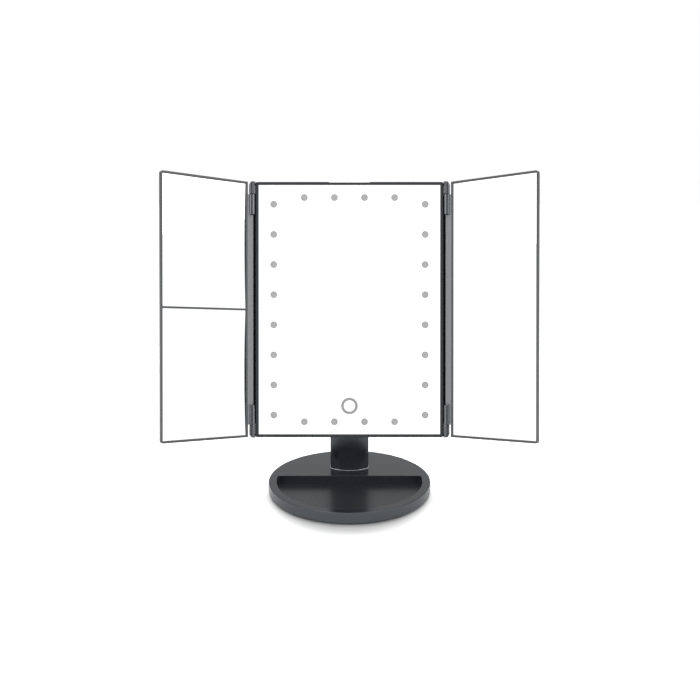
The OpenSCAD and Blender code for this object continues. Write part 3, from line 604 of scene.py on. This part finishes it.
# ---- Rear cover ----
# One ABS moulding closes the back, with the battery bay and the tilt boss on it. Its face has a fine
# spark grain, so it is duller than the bezel, and eight cross-head screws hold it in counterbores.
black_grain = moulded("black spark-grain ABS", (0.022, 0.023, 0.025), 0.42, 0.5, grain=1500, depth=0.35)
dressed("back_cover", black_grain, 0.35)
SCREW_X, SCREW_ROWS, SCREW_TOP = 80.8, (-100.0, -36.0, 36.0, 100.0), 11.55
THREAD_Y, CREST_R, ROOT_R, HALF_PITCH = 5.0, 1.2, 0.95, 0.35
SCREW_HEAD, CROSS_R, CROSS_FLOOR_R, CROSS_DEEP = 1.1, 1.35, 1.1, 0.75


def cross_recess(cx, cz, long, wide, turn):
    """The driver's cross in a screw head, turned by some degrees about the screw."""
    arm = [(long, -wide), (long, wide), (wide, wide)]
    spins = [math.radians(turn + 90 * i) for i in range(4)]
    return [(cx + x * math.cos(a) - z * math.sin(a), cz + x * math.sin(a) + z * math.cos(a))
            for a in spins for x, z in arm]


screws = new_form()
# Radius and depth, along the shank and over the head.
threads = [(CREST_R if i % 2 else ROOT_R, THREAD_Y + HALF_PITCH * i) for i in range(14)]
shank = [(0.4, 4.85)] + threads + [(1.15, 9.9), (1.15, SCREW_TOP - SCREW_HEAD)]
dome = [(2.15, SCREW_TOP - SCREW_HEAD), (2.3, SCREW_TOP - 0.95), (2.3, SCREW_TOP - 0.4),
        (2.2, SCREW_TOP - 0.22), (1.98, SCREW_TOP - 0.08), (1.7, SCREW_TOP)]
for number, (x, z) in enumerate((side * SCREW_X, z) for side in (-1, 1) for z in SCREW_ROWS):
    rows = [flat_ring(screws, circle(x, z, r, 48), y) for r, y in shank + dome]
    walls(screws, rows)
    cut = [flat_ring(screws, cross_recess(x, z, reach, reach * 0.26, 23 + 37 * number), y)
           for reach, y in ((CROSS_R, SCREW_TOP), (CROSS_FLOOR_R, SCREW_TOP - CROSS_DEEP))]
    walls(screws, cut, 1)
    face(screws, [rows[0]])
    face(screws, [rows[-1], cut[0]])
    face(screws, [cut[1]], 1)
# The crosses in the screw heads are a dark metal: painted shade in the recesses.
recess_painted_shade = metal("screw recess painted shade", (0.06, 0.06, 0.065), 0.5)
piece("rear_screws", screws, [zinc, recess_painted_shade], "head", ["back_cover_screws"], HEAD, 30)


# ---- Batteries ----
# Plain sleeved cells lie side by side, turned end for end, between nickel-plated spring contacts. A
# ribbed door slides down over them in two grooves.
sleeve = moulded("blue cell sleeve", (0.03, 0.09, 0.32), 0.22, 0.3, grain=1200, depth=0.02)
nickel = metal("nickel plate", (0.68, 0.66, 0.62), 0.2)
dressed("battery_cells", sleeve, 0.3)
dressed("battery_contacts", nickel)
dressed("battery_door", black_grain, 0.3)
dressed("switch_knob", black_grain, 0.1)


# ---- Hinges ----
# Each wing turns on two steel pins. A zinc cap screwed to the centre frame's corner holds each pin,
# and a slotted sleeve moulded on the wing runs on it. Caps and sleeves are plated in satin grey, and
# the sleeves get a lighter copy of the plating as a painted highlight.
HINGE_X, HINGE_Y, CAP_LOW, CAP_IN, CAP_OUT, SLOPE_X = 88.5, -0.6, 104.87, 88.9, 90.95, 92.2
hinge_satin = metal("satin hinge plating", (0.125, 0.13, 0.14), 0.22)
# The cap's section, from the frame's side over its grooved front and round the pin.
cap_line = [(85.4, 7.1), (85.4, -1.9), (85.9, -2.9), (88.0, -3.5), (88.3, -2.0), (88.9, -2.0),
            (89.2, -3.5), (90.4, -3.0), (90.9, -2.3), (90.95, -0.6), (90.6, 1.3), (89.9, 2.15),
            (88.6, 2.3), (88.5, 7.1)]
# Height, inset, and how far the sloped shoulder has come in from SLOPE_X.
cap_rows = [(CAP_LOW, 0.2, 0.0), (CAP_LOW + 0.2, 0, 0.0), (PANEL_Z - 5.0, 0, 0.0),
            (PANEL_Z - 4.2, 0, 0.2), (PANEL_Z - 3.0, 0, 0.9), (PANEL_Z - 1.6, 0, 1.9),
            (PANEL_Z - 0.5, 0, 2.8), (PANEL_Z - 0.15, 0.05, 3.2), (PANEL_Z, 0.25, 3.5)]
caps = new_form()
for side in (-1, 1):
    for end in (-1, 1):
        rows = []
        for z, by, less in cap_rows:
            line = soft_corners(inset(cap_line, by), 0.2, 3)
            keep = (max(CAP_IN + 0.15, min(CAP_OUT, SLOPE_X - less)) - CAP_IN) / (CAP_OUT - CAP_IN)
            line = [(x if x < CAP_IN else CAP_IN + (x - CAP_IN) * keep, y) for x, y in line]
            rows.append(level_ring(caps, line, end * z, side))
        walls(caps, rows)
        face(caps, [rows[0]])
        face(caps, [rows[-1]])
piece("hinge_caps_plated", caps, [hinge_satin], "head", ["hinge_caps"], HEAD, 30)
dressed("hinge_screws", zinc)
dressed("hinge_pins", zinc)


# ---- Wings ----
# Each wing is a moulded ABS frame with a back cover snapped on. The left one holds two dished acrylic
# panes, for a closer view, over and under a bar, and the right one holds one plain glass pane. The
# strip down the hinge side is painted lighter as a painted sheen, with a dark rim between it and the pane.
SWING, WING_IN, WING_NOTCH, WING_OUT, WING_Z, WING_R = 37.0, -1.6, 4.0, 88.1, 115.7, 2
STRIP_OUT, STRIP_Z, RIM_OUT = 4.6, 86.1, 87.4
WINDOW_IN, WINDOW_OUT, WINDOW_Z, HALF_BAR, LIP_BACK = 6.1, 86.9, 113.6, 0.9, 0.8
PANE_IN, PANE_OUT, PANE_Z, PANE_BAR, PANE_FRONT, PANE_THICK = 4.9, 87.2, 114.8, 0.55, 0.85, 1.4
POCKET_IN, POCKET_OUT, POCKET_Z, POCKET_BAR = 4.88, 87.62, 114.82, 0.18
FRAME_BACK, COVER_IN, WING_BACK = 4.25, 1.3, 5.8
WING_EDGE, OPENING_EDGE, COVER_EDGE = 0.35, 0.25, 0.8
SLEEVE_R, SLEEVE_Z, SLOT_R, SLOT_AT, SLOT_HALF = 2.6, 104.75, 2.05, -58.0, 19.0
PIN_WAY, PIN_WAY_Z, WEB_Z = 1.1, 88.25, 104.5
# Places of the finishes in a wing frame's own list.
RIM, STRIP, PLATED, DARK = 0, 1, 2, 3
wing_satin = moulded("satin grey ABS", (0.055, 0.057, 0.06), 0.28, 0.36, depth=0.03)
# A lighter copy of the hinge plating on the sleeves: a painted highlight.
sleeve_painted_highlight = metal("sleeve plating painted highlight", (0.19, 0.2, 0.21), 0.2)
# A lighter grey than the frame: a painted sheen on the hinge strip.
strip_painted_sheen = moulded("hinge strip painted sheen", (0.2, 0.205, 0.21), 0.32, 0.4, depth=0.03)
acrylic = silvered("silvered acrylic", 1.49, (0.945, 0.955, 0.96, 1), 800.0,
                   Grain_size=260.0, Mark_size=11.0, Clean=0.006, Handled=0.02)


def wing_place(side):
    return (HEAD @ Matrix.Diagonal((side, 1, 1, 1)) @ Matrix.Translation((HINGE_X, HINGE_Y, 0))
            @ Matrix.Rotation(math.radians(-SWING), 4, "Z"))


def wing_line():
    corners = [(WING_NOTCH, -WING_Z)] + arc(WING_OUT - WING_R, -WING_Z + WING_R, WING_R, -90, 0, 6)
    corners += arc(WING_OUT - WING_R, WING_Z - WING_R, WING_R, 0, 90, 6) + [(WING_NOTCH, WING_Z)]
    corners += [(WING_NOTCH, STRIP_Z), (WING_IN, STRIP_Z), (WING_IN, -STRIP_Z), (WING_NOTCH, -STRIP_Z)]
    return soft_corners(corners, 0.5, 3, 40)


def box_line(left, right, low, high):
    return soft_corners([(left, low), (right, low), (right, high), (left, high)], 0.4, 3)


def sleeve_and_web(form, end):
    """The sleeve that runs on a hinge pin, and the web that joins it to the frame."""
    sleeve = arc(0, 0, SLEEVE_R, SLOT_AT + SLOT_HALF, SLOT_AT + 360 - SLOT_HALF, 60)
    sleeve += arc(0, 0, SLOT_R, SLOT_AT - SLOT_HALF + 2, SLOT_AT + SLOT_HALF - 2, 6)
    # The slot's floor and one of its sides are painted black, as painted shade in the slot.
    slot_faces = range(60, 67)
    ends = bar_rings(form, sleeve, STRIP_Z + 0.2, SLEEVE_Z, end=end)
    for low, high in zip(ends, ends[1:]):
        first = len(form["finish"])
        wall(form, low, high, PLATED)
        for k in slot_faces:
            form["finish"][first + k] = DARK
    face(form, [ends[0]], PLATED)
    bore = [level_ring(form, circle(0, 0, PIN_WAY, 24), end * z) for z in (SLEEVE_Z, PIN_WAY_Z)]
    face(form, [ends[-1], bore[0]], PLATED)
    walls(form, bore, PLATED)
    face(form, [bore[1]], PLATED)
    # The web's front carries the strip's painted sheen.
    web = [(1.2, 0.05), (4.4, 0.05), (4.4, 2.6), (1.2, 2.6)]
    ends = bar_rings(form, web, STRIP_Z - 0.3, WEB_Z, end=end)
    walls(form, ends, STRIP)
    face(form, [ends[0]], STRIP)
    face(form, [ends[-1]], STRIP)


def wing_frame(name, side, openings, body, node):
    """A wing's frame; openings are (low, high) of each window and of the pocket behind it."""
    form = new_form()
    rim = [(0, FRAME_BACK), (0, WING_EDGE)] + edge_round(WING_EDGE, 4)[::-1]
    rows = [flat_ring(form, inset(wing_line(), by), y) for by, y in rim]
    walls(form, rows)
    # The border parts the front into the face round the windows and the strip with the outer rim.
    border = flat_ring(form, box_line(STRIP_OUT, RIM_OUT, -PANE_Z, PANE_Z), 0)
    front, behind = [border], [rows[0]]
    for low_z, high_z, pocket_low, pocket_high in openings:
        opening = box_line(WINDOW_IN, WINDOW_OUT, low_z, high_z)
        pocket = box_line(POCKET_IN, POCKET_OUT, pocket_low, pocket_high)
        lips = [flat_ring(form, inset(opening, -a), d) for a, d in edge_round(OPENING_EDGE, 3)]
        lips += [flat_ring(form, line, y)
                 for line, y in ((opening, LIP_BACK), (pocket, LIP_BACK), (pocket, FRAME_BACK))]
        walls(form, lips)
        front.append(lips[0])
        behind.append(lips[-1])
    face(form, front)
    before = len(form["faces"])
    # Faces in the strip get the painted sheen, the rest the frame's grey.
    face(form, [rows[-1], border])
    for k in range(before, len(form["faces"])):
        middle = sum((Vector(form["points"][i]) for i in form["faces"][k]), Vector()) / 3
        form["finish"][k] = STRIP if middle.x < STRIP_OUT and abs(middle.z) < STRIP_Z else RIM
    face(form, behind)
    for end in (-1, 1):
        sleeve_and_web(form, end)
    piece(name, form, [wing_satin, strip_painted_sheen, sleeve_painted_highlight, black_gloss], body, [node],
          wing_place(side), 30)


def wing_cover(name, side, body, node):
    form = new_form()
    steps = [(COVER_IN, FRAME_BACK + 0.05), (COVER_IN, WING_BACK - COVER_EDGE)]
    steps += [(COVER_IN + a, WING_BACK - d) for a, d in reversed(edge_round(COVER_EDGE, 5))]
    rows = [flat_ring(form, inset(wing_line(), by), y) for by, y in steps]
    walls(form, rows)
    face(form, [rows[0]])
    face(form, [rows[-1]])
    piece(name, form, [black_grain], body, [node], wing_place(side))


def dished_pane(name, low, high, curve, node):
    """A thin spherical pane, its middle set back from its corners."""
    form = new_form()
    across, up = 40, 56
    cx, cz = (PANE_IN + PANE_OUT) / 2, (low + high) / 2
    reach = math.hypot(PANE_OUT - cx, high - cz)
    sheets = []
    for offset in (0.0, PANE_THICK):
        grid = []
        for j in range(up + 1):
            line = []
            for i in range(across + 1):
                x, z = PANE_IN + (PANE_OUT - PANE_IN) * i / across, low + (high - low) * j / up
                d = math.hypot(x - cx, z - cz)
                y = PANE_FRONT + math.sqrt(curve ** 2 - d ** 2) - math.sqrt(curve ** 2 - reach ** 2) + offset
                line.append((x, y, z))
            grid.append(ring(form, line))
        sheets.append(grid)
    for grid in sheets:
        for j in range(up):
            for i in range(across):
                form["faces"].append((grid[j][i], grid[j][i + 1], grid[j + 1][i + 1], grid[j + 1][i]))
                form["finish"].append(0)
    walls(form, [grid[0] + [row[-1] for row in grid[1:-1]] + grid[-1][::-1]
                 + [row[0] for row in grid[1:-1]][::-1] for grid in sheets])
    piece(name, form, [acrylic], "left_wing", [node], wing_place(-1), 50)


halves = [(-WINDOW_Z, -HALF_BAR, -POCKET_Z, -POCKET_BAR), (HALF_BAR, WINDOW_Z, POCKET_BAR, POCKET_Z)]
wing_frame("left_wing_frame", -1, halves, "left_wing", "left_frame")
whole = [(-WINDOW_Z, WINDOW_Z, -POCKET_Z, POCKET_Z)]
wing_frame("right_wing_frame", 1, whole, "right_wing", "right_frame")
wing_cover("left_wing_cover", -1, "left_wing", "left_back")
wing_cover("right_wing_cover", 1, "right_wing", "right_back")
dished_pane("upper_dished_pane", PANE_BAR, PANE_Z, 2000.0, "left_upper_mirror")
dished_pane("lower_dished_pane", -PANE_Z, -PANE_BAR, 1500.0, "left_lower_mirror")
dressed("right_mirror", silver)
dressed("left_pads", foam)
dressed("right_pads", foam)


# ---- Studio ----
# A white paper floor without seams, in a white room lit by a softbox on each side and a strip above.
# The camera sees the paper darker under the base, which strengthens the shadow that the object casts.
SHADOW_AT, SHADOW_IN, SHADOW_OUT, SHADOW_DARK, PAPER_BRIGHT = (0, -0.032, 0), 0.046, 0.086, 0.46, 1.3
LENS, CAMERA_AT, CAMERA_DOWN, AIM = 42.74, (0.0005, -0.724, 0.311), 13.69, Vector((0, 0, 0.1))
bpy.ops.mesh.primitive_plane_add(size=8.0, location=(0, 0, 0))
floor = bpy.context.object
floor.name = "studio_floor"
paper, tree, shader = new_finish("white paper", Roughness=0.9, Specular_IOR_Level=0.0)
seen_from = tree.nodes.new("ShaderNodeLightPath")
bright = joined(tree, "ShaderNodeMix", ("Factor", seen_from, "Is Camera Ray"), data_type="RGBA")
bright.inputs["A"].default_value = (0.95, 0.95, 0.95, 1)
at = tree.nodes.new("ShaderNodeTexCoord")
away = joined(tree, "ShaderNodeVectorMath", ("Vector", at, "Object"), operation="DISTANCE")
away.inputs[1].default_value = SHADOW_AT
clear = joined(tree, "ShaderNodeMapRange", ("Value", away, "Value"), interpolation_type="SMOOTHSTEP")
clear.inputs["From Min"].default_value = SHADOW_IN
clear.inputs["From Max"].default_value = SHADOW_OUT
clear.inputs["To Min"].default_value = SHADOW_DARK
clear.inputs["To Max"].default_value = PAPER_BRIGHT
tree.links.new(clear.outputs["Result"], bright.inputs["B"])
tree.links.new(bright.outputs["Result"], shader.inputs["Base Color"])
floor.data.materials.append(paper)

# The room is white to the camera. Glossy faces see it fall off from front to back.
world = bpy.data.worlds.new("white room")
bpy.context.scene.world = world
world.use_nodes = True
room = world.node_tree
lit = room.nodes["Background"]
lit.inputs["Color"].default_value = (1, 1, 1, 1)
seen = room.nodes.new("ShaderNodeBackground")
seen.inputs["Color"].default_value = (1, 1, 1, 1)
seen.inputs["Strength"].default_value = 1.0
facing = room.nodes.new("ShaderNodeTexCoord")
parts = joined(room, "ShaderNodeSeparateXYZ", ("Vector", facing, "Generated"))
front_to_back = joined(room, "ShaderNodeMapRange", ("Value", parts, "Y"), interpolation_type="SMOOTHSTEP")
front_to_back.inputs["From Min"].default_value = -0.35
front_to_back.inputs["From Max"].default_value = 0.6
front_to_back.inputs["To Min"].default_value = 1.15
front_to_back.inputs["To Max"].default_value = 0.6
rays = room.nodes.new("ShaderNodeLightPath")
shine = joined(room, "ShaderNodeMix", ("Factor", rays, "Is Glossy Ray"), ("B", front_to_back, "Result"))
shine.inputs["A"].default_value = 1.05
room.links.new(shine.outputs["Result"], lit.inputs["Strength"])
either = joined(room, "ShaderNodeMixShader", ("Fac", rays, "Is Camera Ray"))
room.links.new(lit.outputs["Background"], either.inputs[1])
room.links.new(seen.outputs["Background"], either.inputs[2])
room.links.new(either.outputs["Shader"], room.nodes["World Output"].inputs["Surface"])

for name, place, power, wide, deep in (("left_softbox", (-1.3, -0.9, 1.2), 3, 0.9, 1.2),
                                       ("right_softbox", (1.4, -0.7, 1.2), 3.5, 0.9, 1.2),
                                       ("top_strip", (0, 0.3, 1.3), 6, 1.0, 0.3)):
    light = bpy.data.objects.new(name, bpy.data.lights.new(name, "AREA"))
    light.data.shape = "RECTANGLE"
    light.data.size, light.data.size_y = wide, deep
    light.data.energy = power
    light.location = place
    light.rotation_euler = (AIM - light.location).to_track_quat("-Z", "Y").to_euler()
    bpy.context.scene.collection.objects.link(light)

camera = bpy.data.objects.new("camera", bpy.data.cameras.new("camera"))
camera.data.sensor_width = 36
camera.data.lens = LENS
camera.location = CAMERA_AT
camera.rotation_euler = (math.radians(90 - CAMERA_DOWN), 0, 0)
bpy.context.scene.collection.objects.link(camera)
bpy.context.scene.camera = camera

bpy.context.scene.view_settings.view_transform = "Standard"
